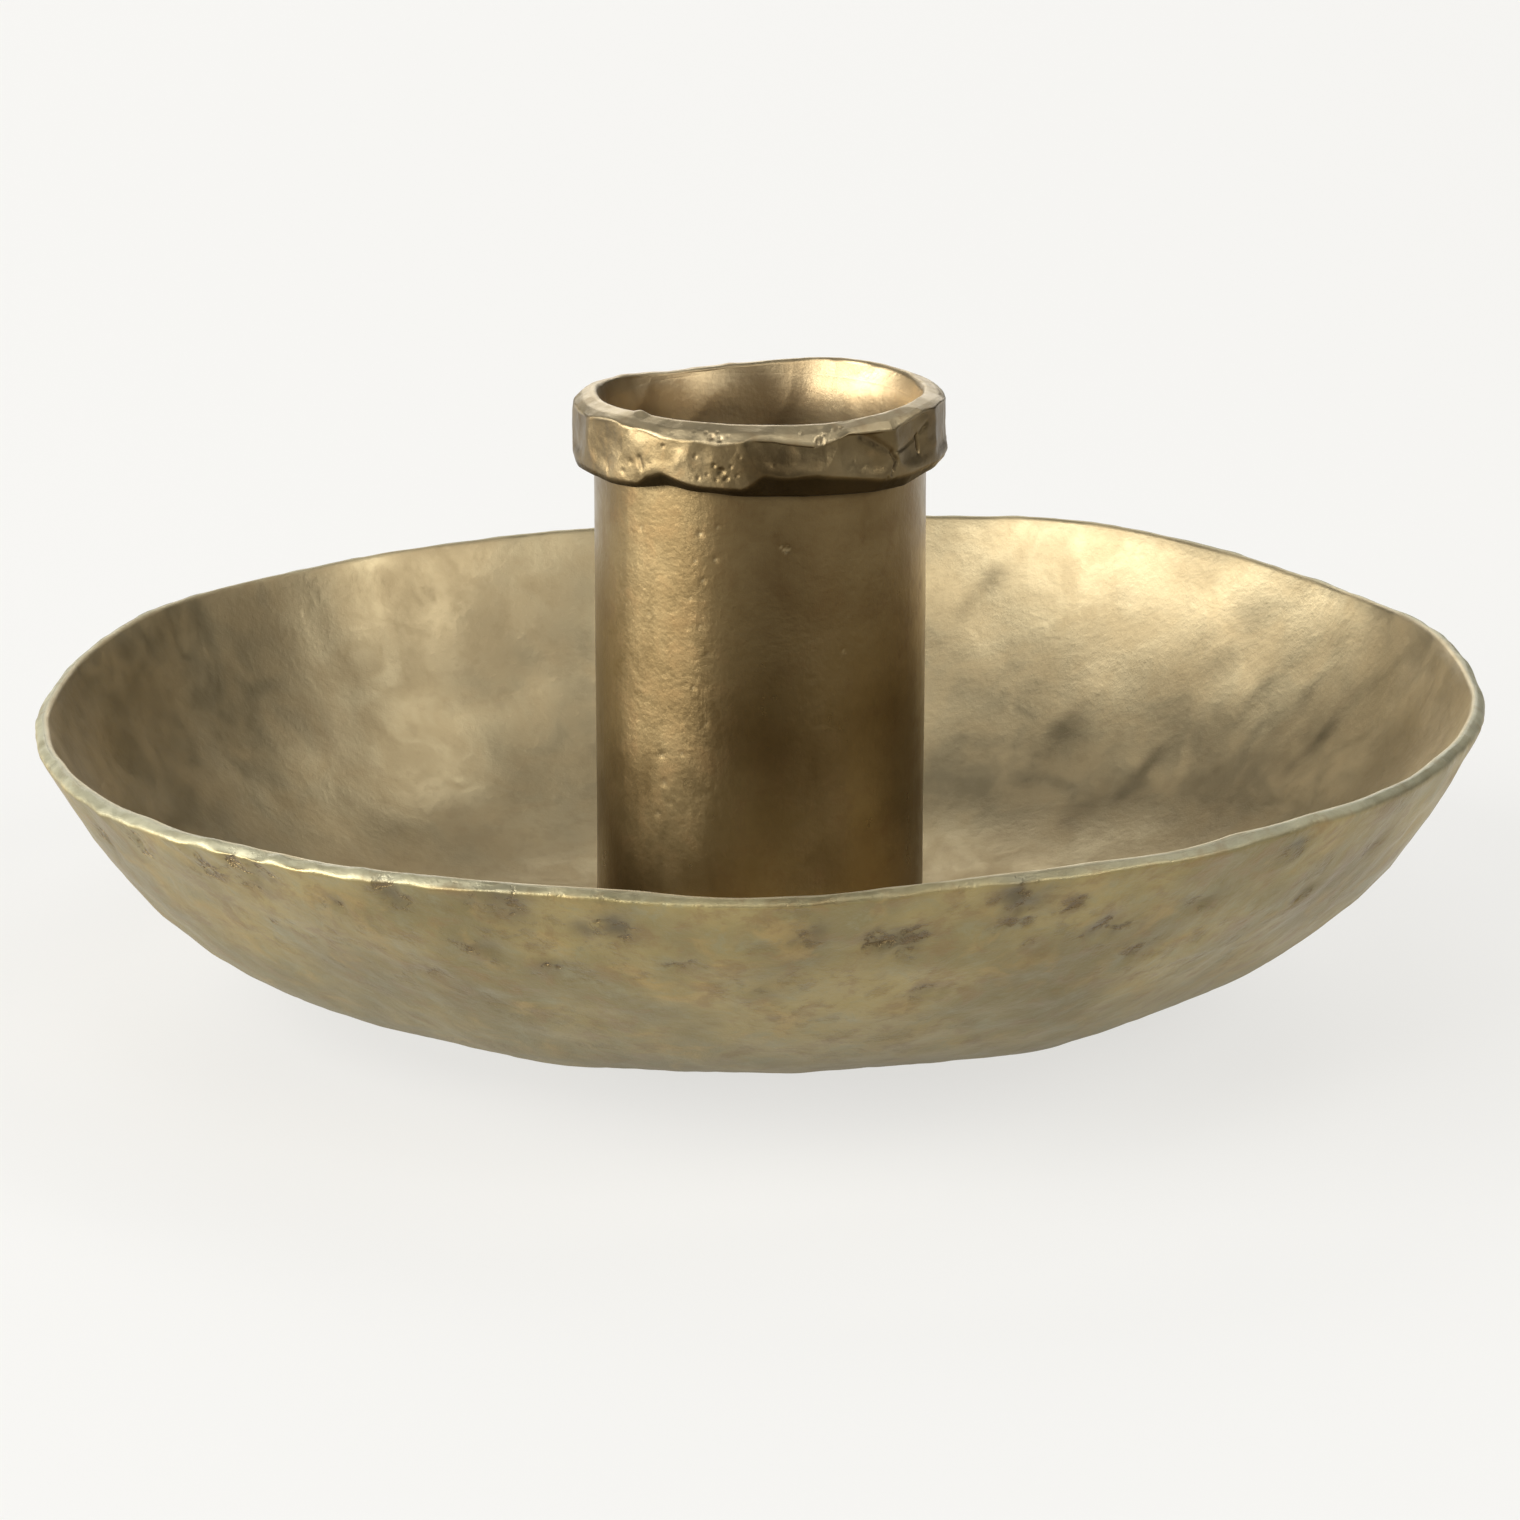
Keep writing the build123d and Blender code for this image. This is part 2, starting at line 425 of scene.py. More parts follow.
def dish_skin():
    """Rings over the whole dish: upper face outwards, rim, lower face inwards. Also the number of
    rings in the upper face and in the rim."""
    upper = np.concatenate([
        np.linspace(HOLE_RADIUS + 0.05, BOSS_FOOT_RADIUS + 0.9, BOSS_RINGS),
        even_radii(BOSS_FOOT_RADIUS + 1.6, RIM_INNER_RADIUS - 0.25, UPPER_RINGS),
    ])
    lower = np.concatenate([
        even_radii(BOSS_FOOT_RADIUS + 1.6, RIM_OUTER_RADIUS - 0.3, LOWER_RINGS)[::-1],
        np.linspace(BOSS_FOOT_RADIUS + 0.6, HOLE_RADIUS + 0.05, 12),
    ])
    top = dish_face(upper, downwards=True)
    under = dish_face(lower, downwards=False)
    inner, outer = rim_corners()
    width = outer - inner
    wall_top = np.array([np.full(DISH_AZIMUTHS, upper[-1]), top[-1]])
    wall_under = np.array([np.full(DISH_AZIMUTHS, lower[0]), under[0]])
    rim = bend(wall_top, inner, inner + 0.3 * width, 6)[1:]
    rim += bend(inner + 0.45 * width, outer, wall_under, 7)[:-1]
    rim = np.array(rim)
    upper_radii, lower_radii = (np.repeat(radii[:, None], DISH_AZIMUTHS, 1) for radii in (upper, lower))
    radii = np.concatenate([upper_radii, rim[:, 0], lower_radii])
    heights = np.concatenate([top, rim[:, 1], under])
    return ring_points(radii, heights, DISH_AZIMUTHS), len(upper), len(rim)


# Broad bulges (+) and dents (-) of the sheet that show in the dish's outline: azimuth, radius, size, rise
SHEET_BULGES = [
    (-50, 33, 7, 0.6),
    (-35, 43, 7, -0.3),
    (-120, 28, 7, 0.4),
    (-128, 44, 9, -0.35),
    (-100, 27, 8, -0.1),
    (-16, 50, 7, 0.4),
    (-163, 50, 7, 0.05),
    (35, 40, 10, 0.4),
    (75, 46, 9, -0.4),
    (130, 44, 10, 0.4),
    (165, 40, 9, -0.35),
]

# Dents struck in the inner face: azimuth, radius, size of the hammer mark, depth
INNER_MARKS = [
    (122, 50, 8, 0.5),
    (142, 51, 9, 0.45),
    (160, 51, 6, 0.4),
    (171, 50, 6, 0.4),
    (60, 51, 9, 0.5),
    (46, 50, 8, 0.4),
    (28, 50, 6, 0.45),
    (36, 41, 6, 0.3),
    (55, 45, 5, 0.4),
]

# Dark streaks on the inner face: (azimuth, radius) points, width, strength
STREAKS = [
    ([(67.5, 52), (70, 49.5)], 0.9, 1.0),
    ([(53, 46), (55, 44)], 1.5, 0.8),
    ([(42, 44.5), (44, 40.5)], 0.9, 1.0),
    ([(27.5, 51), (29.5, 47.5)], 1.0, 1.0),
    ([(22, 49.5), (24, 46.5)], 0.9, 0.9),
    ([(19.5, 52), (22.5, 50.5)], 1.5, 0.8),
    ([(34, 50), (36, 47)], 0.8, 0.7),
    ([(46, 40), (48, 37)], 0.9, 0.6),
]

# Marks on the outer face: azimuth, radius, size, how pitted, how stained
OUTER_MARKS = [
    (-132, 54.5, 2.6, 1.0, 0.5),
    (-138, 54.3, 2.0, 0.8, 0.4),
    (-124, 53.4, 1.4, 0.9, 0.6),
    (-135, 49.5, 1.2, 0.6, 0.5),
    (-155, 53.5, 1.5, 0.7, 0.5),
    (-101, 53.4, 1.5, 1.0, 1.0),
    (-103, 53.0, 1.2, 0.9, 0.7),
    (-110, 55.1, 3.2, 0.6, 0.8),
    (-79, 52.0, 2.2, 1.0, 0.8),
    (-81, 52.4, 1.4, 0.9, 0.6),
    (-70, 54.7, 2.4, 0.7, 1.0),
    (-70, 52.5, 1.5, 1.0, 0.8),
    (-67, 49.8, 1.4, 0.7, 0.5),
    (-61, 50.9, 2.0, 1.0, 0.8),
    (-66, 53.3, 1.5, 0.7, 0.6),
    (-45, 54.5, 1.4, 0.9, 1.0),
    (-31, 52.6, 1.2, 0.8, 0.6),
    (-113, 51.0, 2.2, 0.7, 0.4),
    (-108, 49.0, 1.6, 0.8, 0.5),
    (-96, 50.5, 1.4, 0.8, 0.4),
    (-90, 47.5, 1.6, 0.7, 0.5),
    (-86, 53.0, 1.6, 0.6, 0.7),
    (-120, 47.5, 1.5, 0.7, 0.4),
    (-147, 54.6, 1.8, 0.9, 0.3),
    (-118, 54.6, 1.6, 0.8, 0.7),
    (-56, 48.0, 1.6, 0.8, 0.4),
    (-52, 52.0, 1.5, 0.9, 0.5),
    (-38, 50.5, 1.4, 0.8, 0.5),
    (-75, 46.5, 1.8, 0.6, 0.4),
    (40, 52.0, 3.0, 0.8, 0.6),
    (92, 50.5, 2.4, 0.9, 0.8),
    (140, 53.0, 2.8, 0.8, 0.6),
    (178, 49.0, 2.0, 0.9, 0.6),
    (110, 42.0, 2.4, 0.7, 0.5),
    (20, 40.0, 2.2, 0.6, 0.5),
]


def sheet_wave(base, outer):
    """The sheet's own waves, which move both faces together."""
    wave = 0.16 * lumps(base, 15, seed=3, octaves=2)
    for azimuth, radius, size, rise in SHEET_BULGES:
        wave += rise * mark(base, on_skin(outer, azimuth, radius), size)
    return wave


def hammered(base, upper):
    """Depth of the hammer marks struck on the dish's inner face."""
    face = base[BOSS_RINGS:upper]
    centres, sizes, depths = struck_marks(face, INNER_MARKS, 6.0, 11, (5.5, 9.0), (0.12, 0.42))
    return bowls(base, centres, sizes, depths, softness=0.05)


def filed(base, edge):
    """Depth of the file's and the nicks' marks in the rim's edge."""
    nicked = 0.05 + 0.16 * mark(base, on_skin(base, -128, RIM_OUTER_RADIUS), 18)
    strokes = 0.05 * lumps(base, 5, seed=21, octaves=2)
    return (strokes + nicked * lumps(base, 1.9, seed=22, octaves=2)) * edge


def outer_wear(base, outer, inside):
    """How pitted and how stained the dish is, and the depth of its pits."""
    pitting = 0.25 * eased(0.4 + 0.8 * lumps(base, 9, seed=31, octaves=2)) * (1 - inside)
    stain = 0.3 * eased(0.3 + 0.8 * lumps(base, 12, seed=41, octaves=2))
    pits = np.zeros_like(pitting)
    for azimuth, radius, size, pitted, stained in OUTER_MARKS:
        spot = mark(base, on_skin(outer, azimuth, radius), size) * (1 - inside)
        ragged = spot * (0.6 + 0.8 * eased(0.5 + lumps(base, size * 0.8, seed=51, octaves=2)))
        pitting = np.maximum(pitting, pitted * ragged)
        stain = np.maximum(stain, stained * ragged)
        pits += 0.26 * pitted * spot * eased(0.35 + 1.6 * lumps(base, 1.3, seed=52, octaves=2))
    return pitting, stain, pits


def streaked(base, upper, inside, stain):
    """The stain with the dark streaks of the inner face added."""
    for path, width, strength in STREAKS:
        streak = groove(base, [on_skin(base[:upper], a, r) for a, r in path], width) * inside
        stain = np.maximum(stain, strength * streak * (0.6 + 0.4 * lumps(base, 1.5, seed=65)))
    return stain


def make_dish():
    base, upper, rim = dish_skin()
    outer = base[upper + rim :]
    rows = np.arange(len(base))[:, None]
    radius = np.hypot(base[..., 0], base[..., 1])
    inside = eased((upper + rim * 0.35 - rows) / (rim * 0.3) + 0.5) * np.ones_like(radius)
    edge = eased(1.3 - np.abs(rows - upper - (rim - 1) / 2) / (rim * 0.38)) * np.ones_like(radius)
    # The rings run outwards over the upper face, so their normals are turned to face out of the sheet.
    normals = -ring_normals(base)
    outward = normals * (1 - 2 * inside[..., None])
    outward[upper - 2 : upper + rim + 2] = outward[upper + rim + 3]
    free = eased((radius - FLAT_RADIUS) / 8)

    struck = hammered(base, upper)
    shown = struck * (0.25 + 0.75 * inside)  # the marks show softly through the sheet
    pitting, stain, pits = outer_wear(base, outer, inside)
    rough = 0.06 * lumps(base, 2.4, seed=61, octaves=2) * (1 - 0.85 * inside)
    move = (sheet_wave(base, outer) + shown) * free + rough
    points = base + outward * move[..., None]
    points -= normals * ((pits + filed(base, edge)) * (1 - inside * 0.5))[..., None]

    relief = np.clip((lumps(base, 3, seed=61) * 0.02 - shown * inside + struck.mean() - pits) / 0.3, -1, 1)
    # The rim's pale wear fades round the front of the dish.
    worn_off = mark(base[upper], on_skin(base, -86, RIM_OUTER_RADIUS), 24)
    fields = {
        "inside": inside,
        "edge": edge * (1 - 0.55 * worn_off),
        "relief": relief,
        "pitting": pitting,
        "stain": streaked(base, upper, inside, stain),
        # Where painted shade darkens the outside towards the table
        "painted_low_shade": eased((16 - base[..., 2]) / 13) * (1 - inside),
    }
    piece = ring_mesh("dish_sheet", points[::-1], **{name: field[::-1] for name, field in fields.items()})
    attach(piece, "root")
    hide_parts("dish")
    return piece


# ---------------------------------------------------------------- tube and plug

# Pits in the tube: azimuth, height, size, depth
TUBE_PITS = [
    (-111, 40.2, 0.26, 0.07), (-112.5, 38.0, 0.2, 0.05), (-109.5, 36.6, 0.22, 0.06),
    (-114, 35.2, 0.2, 0.04), (-111, 33.0, 0.2, 0.04), (-108, 31.0, 0.22, 0.04), (-113, 28.2, 0.2, 0.05),
    (-109, 25.4, 0.22, 0.04), (-81, 39.1, 0.3, 0.10), (-83, 39.3, 0.22, 0.07), (-105, 38.3, 0.24, 0.08),
    (-125, 20.5, 0.35, 0.05), (-128, 17.8, 0.3, 0.05), (-118, 23.0, 0.24, 0.05),
    (-135, 40.0, 0.24, 0.05), (-131, 33.5, 0.22, 0.04), (-60, 31.0, 0.24, 0.05),
    (-126, 22.5, 0.3, 0.05), (-122, 19.0, 0.24, 0.04), (-104, 40.8, 0.22, 0.05),
]


def mouth_radius(heights):
    """Radius of the mouth's inner wall, which opens smoothly from the tube's bore to the collar's lip."""
    return BORE_RADIUS + FLARE_WIDTH * np.clip((heights - FLARE_START) / FLARE_HEIGHT, 0, 1.1) ** 2


def dented(points):
    """The mouth's inner wall is beaten a little uneven, in the same way on the tube and on the collar."""
    radius = np.hypot(points[..., 0], points[..., 1])[..., None]
    dent = 0.08 * lumps(points, 4.5, seed=74, octaves=2)[..., None]
    return points + points * (1, 1, 0) / radius * np.abs(dent)


def tube_outline():
    """Radii and heights of the tube's rings, up its outside and down its bore. Also the number of rings
    on its outside and in its bore."""
    low, high = node_box("cup_tube")
    plug_top = node_box("cup_floor")[1][2]
    collar_low = node_box("rim_collar")[0][2]
    covered = np.linspace(collar_low + 2.2, high[2] - 0.1, 6)
    outside = np.concatenate([np.linspace(low[2] + 0.15, collar_low + 1.5, 200), covered])
    bore = np.concatenate([
        [high[2] + TUCK], np.linspace(high[2], 43.4, 16), np.linspace(42.2, plug_top + 0.1, 12),
    ])
    radii = np.concatenate([
        [TUBE_RADIUS - 0.15], np.full(len(outside), TUBE_RADIUS), [TUBE_RADIUS - 0.1],
        mouth_radius(bore) + BEHIND * (bore > high[2]),
        [BORE_RADIUS, PLUG_RADIUS, PLUG_RADIUS, PLUG_RADIUS + 0.1],
    ])
    heights = np.concatenate([
        [low[2]], outside, [high[2]],
        bore, [plug_top, plug_top - 0.01, low[2] + 0.15, low[2]],
    ])
    return radii, heights, len(outside), len(bore)


def make_tube():
    radii, heights, outside, bore_rings = tube_outline()
    base = ring_points(radii, heights, TUBE_AZIMUTHS)
    outer = base[1 : outside + 1]
    top_row = outside + 1
    bore = slice(top_row + 1, top_row + 1 + bore_rings)
    shown = np.zeros((len(base), 1))
    shown[2:outside] = 1
    centres, sizes, depths = struck_marks(
        outer, TUBE_PITS, 2.6, 71, (0.18, 0.3), (0.005, 0.025), tries=700, by_height=True,
    )
    pits = bowls(base, centres, sizes, depths, softness=0.01)
    wave = 0.03 * lumps(base * (1, 1, 0.5), 7, seed=73, octaves=2)
    points = base + ring_normals(base) * ((wave - pits) * shown)[..., None]
    points[bore] = dented(base[bore])
    mouth = np.zeros((len(base), 1))
    mouth[bore] = 1
    # Painted shadow: the tube is darkened just under the collar's edge
    below_hem = along_azimuths(HEM, TUBE_AZIMUTHS, 1.0) - base[..., 2]
    grime = eased(1 - below_hem / 0.6) * (1 - mouth)
    # Painted dark reflection: a dark patch on the front, under the collar, taller than it is wide
    lowered = np.array((1, 1, 0.8))
    patch = on_skin(outer, -72, 41, by_height=True)
    tarnish = mark(base * lowered, patch * lowered, 9.5) * (1 - mouth)
    piece = ring_mesh(
        "socket_tube", points, flat_rows=[top_row],
        # Paler at the deepest pits: painted glints
        pitting=np.clip((pits - 0.02) / 0.04, 0, 1), mouth=mouth, grime=grime, tarnish=tarnish,
    )
    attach(piece, "root")
    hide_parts("cup_tube")
    return piece


def make_plug():
    """The candle's seat: a turned disc with a fillet of braze against the bore, and a hole from below."""
    low, high = (corner[2] for corner in node_box("cup_floor"))
    turned = [(r, high + 0.025 * math.sin(r * 9)) for r in np.linspace(0.3, 10.0, 34)]
    fillet = [(r, high + rise) for r, rise in ((10.3, 0.0), (10.9, 0.06), (11.25, 0.22), (11.46, 0.55))]
    side = [
        (PLUG_RADIUS - 0.3, high - 0.02), (PLUG_RADIUS - 0.02, high - 0.2),
        (PLUG_RADIUS - 0.02, low + 0.3), (PLUG_RADIUS - 0.3, low),
    ]
    under = [(r, low) for r in (9.0, 6.0, 3.0, 2.3)]
    hole = [(2.0, low + 0.3), (2.0, low + 6.0), (1.6, low + 6.2), (0.3, low + 6.35)]
    outline = np.array(turned + fillet + side + under + hole)[::-1]
    rings = ring_points(outline[:, 0], outline[:, 1], PLUG_AZIMUTHS)
    piece = ring_mesh("socket_plug", rings, closed=False)
    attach(piece, "root")
    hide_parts("cup_floor")
    return piece


# ---------------------------------------------------------------- collar

# The collar's edges round the tube's mouth, as (azimuth, height): the lip's crest, the shoulder where the
# lip's bevel meets the side, the crease where the side turns under, and the ragged lower edge
CREST = [
    (-165, 48.7), (-137, 48.9), (-90, 48.8), (-69, 48.7), (-50, 48.8), (-20, 49.0), (10, 48.7),
    (40, 48.9), (65, 48.8), (90, 48.2), (110, 47.9), (125, 47.9), (150, 48.4), (175, 48.8),
]
SHOULDER = [
    (-166, 47.6), (-142, 48.2), (-128, 48.0), (-121, 47.6), (-112, 47.7), (-103, 47.4), (-92, 47.9),
    (-86, 47.9), (-73, 47.3), (-69, 47.5), (-62, 48.1), (-45, 47.8), (-30, 48.5), (-14, 48.4),
    (5, 47.9), (20, 48.1), (35, 47.7), (52, 48.1), (70, 47.8), (90, 47.6), (105, 47.1), (140, 47.4),
    (160, 47.9), (178, 47.7),
]
CREASE = [
    (-170, 44.1), (-148, 43.9), (-130, 43.9), (-127, 44.5), (-121, 45.0), (-115, 44.5), (-108, 44.2),
    (-95, 44.2), (-89, 45.3), (-82, 45.0), (-73, 45.2), (-59, 44.6), (-50, 44.2), (-37, 44.2),
    (-17, 44.5), (10, 44.6), (40, 44.2), (75, 44.6), (110, 44.4), (150, 44.7),
]
HEM = [
    (-170, 43.4), (-132, 43.4), (-121, 43.8), (-110, 43.6), (-80, 43.4), (-50, 43.1), (-38, 43.2),
    (-28, 43.6), (-13, 44.0), (18, 43.3), (30, 43.7), (48, 43.5), (60, 43.9), (75, 43.4), (95, 43.6),
    (108, 43.2), (122, 43.7), (140, 43.5), (158, 43.9), (172, 43.6),
]
# Radius of the crease and of the ragged lower edge, as (azimuth, radius)
CREASE_RADIUS = [
    (-165, 14.4), (-130, 14.3), (-95, 14.45), (-70, 14.5), (-48, 14.4), (-20, 14.5), (30, 14.35),
    (80, 14.5), (130, 14.35),
]
HEM_RADIUS = [
    (-165, 14.2), (-132, 14.1), (-120, 13.4), (-108, 13.6), (-90, 13.55), (-60, 13.5), (-40, 13.9),
    (-15, 14.2), (30, 13.9), (80, 13.6), (130, 14.1),
]

# Round dents hammered on the collar: azimuth, height, size, depth
COLLAR_DENTS = [
    (-149, 46.0, 2.6, 0.06), (-133, 46.2, 2.2, 0.06), (-114, 46.3, 2.4, 0.08), (-82, 46.2, 3.2, 0.16),
    (-57, 46.4, 3.3, 0.16), (-37, 47.2, 2.4, 0.18), (0, 46.3, 2.6, 0.15), (42, 46.3, 2.8, 0.2),
    (85, 46.2, 2.8, 0.2), (108, 45.6, 2.4, 0.15), (152, 46.2, 2.6, 0.15),
]
# Flats hammered across the strip: azimuth, height, depth, and how far they lean up and turn
COLLAR_FLATS = [
    (-168, 46.3, 0.26, 2, 0), (-146, 46.2, 0.20, 4, 0), (-124, 46.2, 0.18, 4, 0),
    (-104, 46.2, 0.14, 4, 0), (-82, 46.2, 0.30, 12, 2), (-57, 46.3, 0.24, 4, 3),
    (-34, 46.5, 0.26, 5, 0), (-12, 46.2, 0.25, 2, 0), (10, 46.2, 0.2, -3, 0), (33, 46.2, 0.25, 3, 0),
    (55, 46.2, 0.2, 0, 0), (78, 46.2, 0.3, -3, 0), (100, 46.0, 0.2, 2, 0), (122, 46.2, 0.25, 0, 0),
    (146, 46.2, 0.2, 3, 0), (168, 46.2, 0.25, -2, 0),
]
# Small pits: azimuth, height, size, depth
COLLAR_PITS = [
    (-107.4, 48.3, 0.2, 0.08), (-105.2, 47.95, 0.3, 0.12), (-103.5, 48.3, 0.18, 0.08),
    (-102.2, 47.8, 0.24, 0.12), (-99.8, 48.1, 0.16, 0.06), (-111, 48.35, 0.2, 0.06),
    (-103.9, 45.95, 0.2, 0.08), (-101.6, 45.5, 0.34, 0.13), (-98.6, 45.9, 0.18, 0.07),
    (-99.9, 44.95, 0.24, 0.1), (-96.9, 45.2, 0.16, 0.06), (-103.2, 44.8, 0.16, 0.05),
    (-110, 46.6, 0.2, 0.06), (-96, 46.7, 0.16, 0.05), (-109, 44.9, 0.2, 0.06), (-106, 45.2, 0.14, 0.05),
    (-71, 47.7, 0.42, 0.26), (-72.3, 47.4, 0.3, 0.16), (-69.6, 48.1, 0.2, 0.08),
    (-121, 47.0, 0.2, 0.06), (-86, 45.9, 0.2, 0.05), (-60, 46.0, 0.2, 0.05), (-136, 44.6, 0.22, 0.05),
    (-143, 44.4, 0.22, 0.05), (-133, 45.4, 0.22, 0.05), (-77, 48.3, 0.2, 0.06), (-66, 48.35, 0.2, 0.06),
    (-63, 48.5, 0.22, 0.09), (-46, 44.5, 0.28, 0.12), (-48, 44.2, 0.22, 0.08),
]
# Cracks where the strip's lapped end was hammered down: width, depth and (azimuth, height) points
COLLAR_CRACKS = [
    (0.32, 0.16, [(-57, 47.8), (-52, 47.1), (-46, 46.2)]),
    (0.12, 0.35, [(-46, 46.2), (-44.5, 45.4), (-45.5, 44.8)]),
    (0.12, 0.10, [(-45, 46.1), (-39, 46.3), (-33, 46.8), (-27, 47.6)]),
    (0.12, 0.5, [(-32.5, 46.8), (-32.3, 45.7)]),
    (0.2, 0.1, [(-129.5, 45.9), (-128.3, 45.1)]),
    (0.2, 0.2, [(112, 47.4), (117, 46.2), (114, 44.8)]),
]
# The corners of the collar's section in order, and how many rings lie from each to the next
COLLAR_RINGS = {
    "tucked_under": 3, "behind_hem": 3, "hem": 10, "crease": 15, "side": 14, "shoulder": 8, "band": 9,
    "lip": 4, "mouth": 3, "wall": 9, "joint": 1, "seam": 3, "seat": 6,
}


def collar_row(corner):
    """The number of the ring at a corner of the collar's section."""
    names = list(COLLAR_RINGS)
    return sum(COLLAR_RINGS[name] for name in names[: names.index(corner)])


def collar_corners(crest, shoulder, crease, hem):
    """Each corner of the collar's section, as rows of radii and heights."""
    tube_top = node_box("cup_tube")[1][2]
    crease_radius = along_azimuths(CREASE_RADIUS, COLLAR_AZIMUTHS, 5.0)
    hem_radius = along_azimuths(HEM_RADIUS, COLLAR_AZIMUTHS, 5.0)
    return {
        "tucked_under": (12.72, hem + 0.9),
        "behind_hem": ((TUBE_RADIUS + hem_radius) / 2, hem + 0.15),
        "hem": (hem_radius, hem),
        "crease": (crease_radius, crease),
        "side": (14.4, (crease + shoulder) / 2),
        "shoulder": (14.25, shoulder),
        "band": (13.6, shoulder + 0.6 * (crest - shoulder)),
        "lip": (12.85, crest - 0.05),
        "mouth": (mouth_radius(crest) + 0.12, crest - 0.03),
        "wall": (mouth_radius(crest - 0.25), crest - 0.25),
        "joint": (mouth_radius(tube_top), tube_top),
        "seam": (mouth_radius(tube_top - TUCK) + BEHIND, tube_top - TUCK),
        "seat": (12.72, tube_top),
    }


def collar_skin(corners):
    """Rings over the collar: up its outside, over the lip, down the mouth, out over the tube's end and
    down its seat on the tube."""
    one = np.ones(COLLAR_AZIMUTHS)
    ends = [(radius * one, height * one) for radius, height in corners.values()]
    radii, heights = [], []
    for start, stop, steps in zip(ends, ends[1:] + ends[:1], COLLAR_RINGS.values()):
        for t in np.arange(steps) / steps:
            radii.append(start[0] + t * (stop[0] - start[0]))
            heights.append(start[1] + t * (stop[1] - start[1]))
    radii, heights = np.array(radii), np.array(heights)
    for rows in (radii, heights):
        rows[: collar_row("joint")] = softened(rows[: collar_row("joint")])
    # The inner wall runs on from the tube's, to the same curve.
    wall = slice(collar_row("wall"), collar_row("joint") + 1)
    radii[wall] = mouth_radius(heights[wall])
    return ring_points(radii, heights, COLLAR_AZIMUTHS)


def collar_marks(base, spot, crease, shoulder):
    """Depths of what was struck into the collar: dents and flats, pits, and cracks."""
    spots, sizes, depths = zip(*((spot(a, h), size, depth) for a, h, size, depth in COLLAR_DENTS))
    dents = bowls(base, spots, sizes, depths, 0.015)
    spots, sizes, depths = zip(*((spot(a, h), size, depth) for a, h, size, depth in COLLAR_PITS))
    pits = bowls(base, spots, sizes, depths, 0.01)
    spots = [spot(azimuth, height) for azimuth, height, _, _, _ in COLLAR_FLATS]
    ways = [facing(azimuth + turn, lean) for azimuth, _, _, lean, turn in COLLAR_FLATS]
    depths = [depth for _, _, depth, _, _ in COLLAR_FLATS]
    side = eased(base[..., 2] - crease - 0.1) * eased((shoulder + 0.5 - base[..., 2]) / 0.6)
    flats = planed(base, spots, ways, depths) * side
    cracks = np.zeros(base.shape[:2])
    for width, depth, path in COLLAR_CRACKS:
        cracks = np.maximum(cracks, depth * groove(base, [spot(a, h) for a, h in path], width))
    return dents, flats, pits, cracks


def make_collar():
    edges = [along_azimuths(edge, COLLAR_AZIMUTHS, 1.0) for edge in (CREST, SHOULDER, CREASE, HEM)]
    _, shoulder, crease, _ = edges
    base = collar_skin(collar_corners(*edges))
    hem_row, mouth_row, wall_row, seam = (collar_row(name) for name in ("hem", "mouth", "wall", "seam"))

    def spot(azimuth, height):
        return on_skin(base[hem_row:mouth_row], azimuth, height, by_height=True)

    seen = np.zeros((len(base), 1))
    seen[hem_row:mouth_row] = 1
    seen = softened(seen, 2)
    dents, flats, pits, cracks = collar_marks(base, spot, crease, shoulder)
    wave = 0.05 * lumps(base, 2.6, seed=81, octaves=3)
    lap = 0.3 * mark(base, spot(-134, 48.8) + (0.2, 0.2, 0.1), 0.7)
    move = (wave + lap - dents - flats - pits - cracks) * seen
    points = base + ring_normals(base) * move[..., None]
    points[wall_row : seam + 1] = dented(points[wall_row : seam + 1])

    rows = np.arange(len(base))[:, None]
    mouth = eased((rows - mouth_row) / 4) * (rows <= seam)
    # The bevel that faces up is given a paler colour: a painted highlight
    bevel = eased((base[..., 2] - shoulder) / 0.35 + 0.3) * (1 - mouth)
    piece = ring_mesh(
        "socket_collar", points, flat_rows=[seam],
        mouth=mouth,
        # Painted shade: darkened where the strip turns under, below the crease
        grime=eased((crease - base[..., 2]) / 0.35) * (1 - mouth),  # where the strip turns under
        pitting=np.clip((pits + cracks) / 0.15, 0, 1),
        bevel=bevel,
        # Painted dark reflection on one facet at the front
        tarnish=mark(base, spot(-86, 46.0), 3.6) * (1 - mouth) * (1 - bevel),
    )
    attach(piece, "root")
    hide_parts("rim_collar")
    return piece


# ---------------------------------------------------------------- felt


def make_felt():
    low, high = node_box("felt_disc")
    thickness = high[2] - low[2]
    radius = high[0]
    top = [(r, thickness) for r in np.linspace(0.4, radius - 0.5, 40)]
    side = [
        (radius - 0.15, thickness - 0.1), (radius, thickness - 0.35),
        (radius, 0.35), (radius - 0.15, 0.1),
    ]
    under = [(r, 0.0) for r in np.linspace(radius - 0.5, 0.4, 40)]
    outline = np.array((top + side + under)[::-1])
    rings = ring_points(outline[:, 0], low[2] + outline[:, 1], FELT_AZIMUTHS)
    fuzz = 0.05 * lumps(rings, 0.7, seed=91, octaves=2)
    fuzz -= fuzz.max()  # the fibres only sink in, so that the disc keeps its size
    rings = rings + ring_normals(rings, closed=False) * fuzz[..., None]
    piece = ring_mesh("felt_pad", rings, closed=False)
    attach(piece, "root")
    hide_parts("felt_disc")
    return piece


# ---------------------------------------------------------------- materials


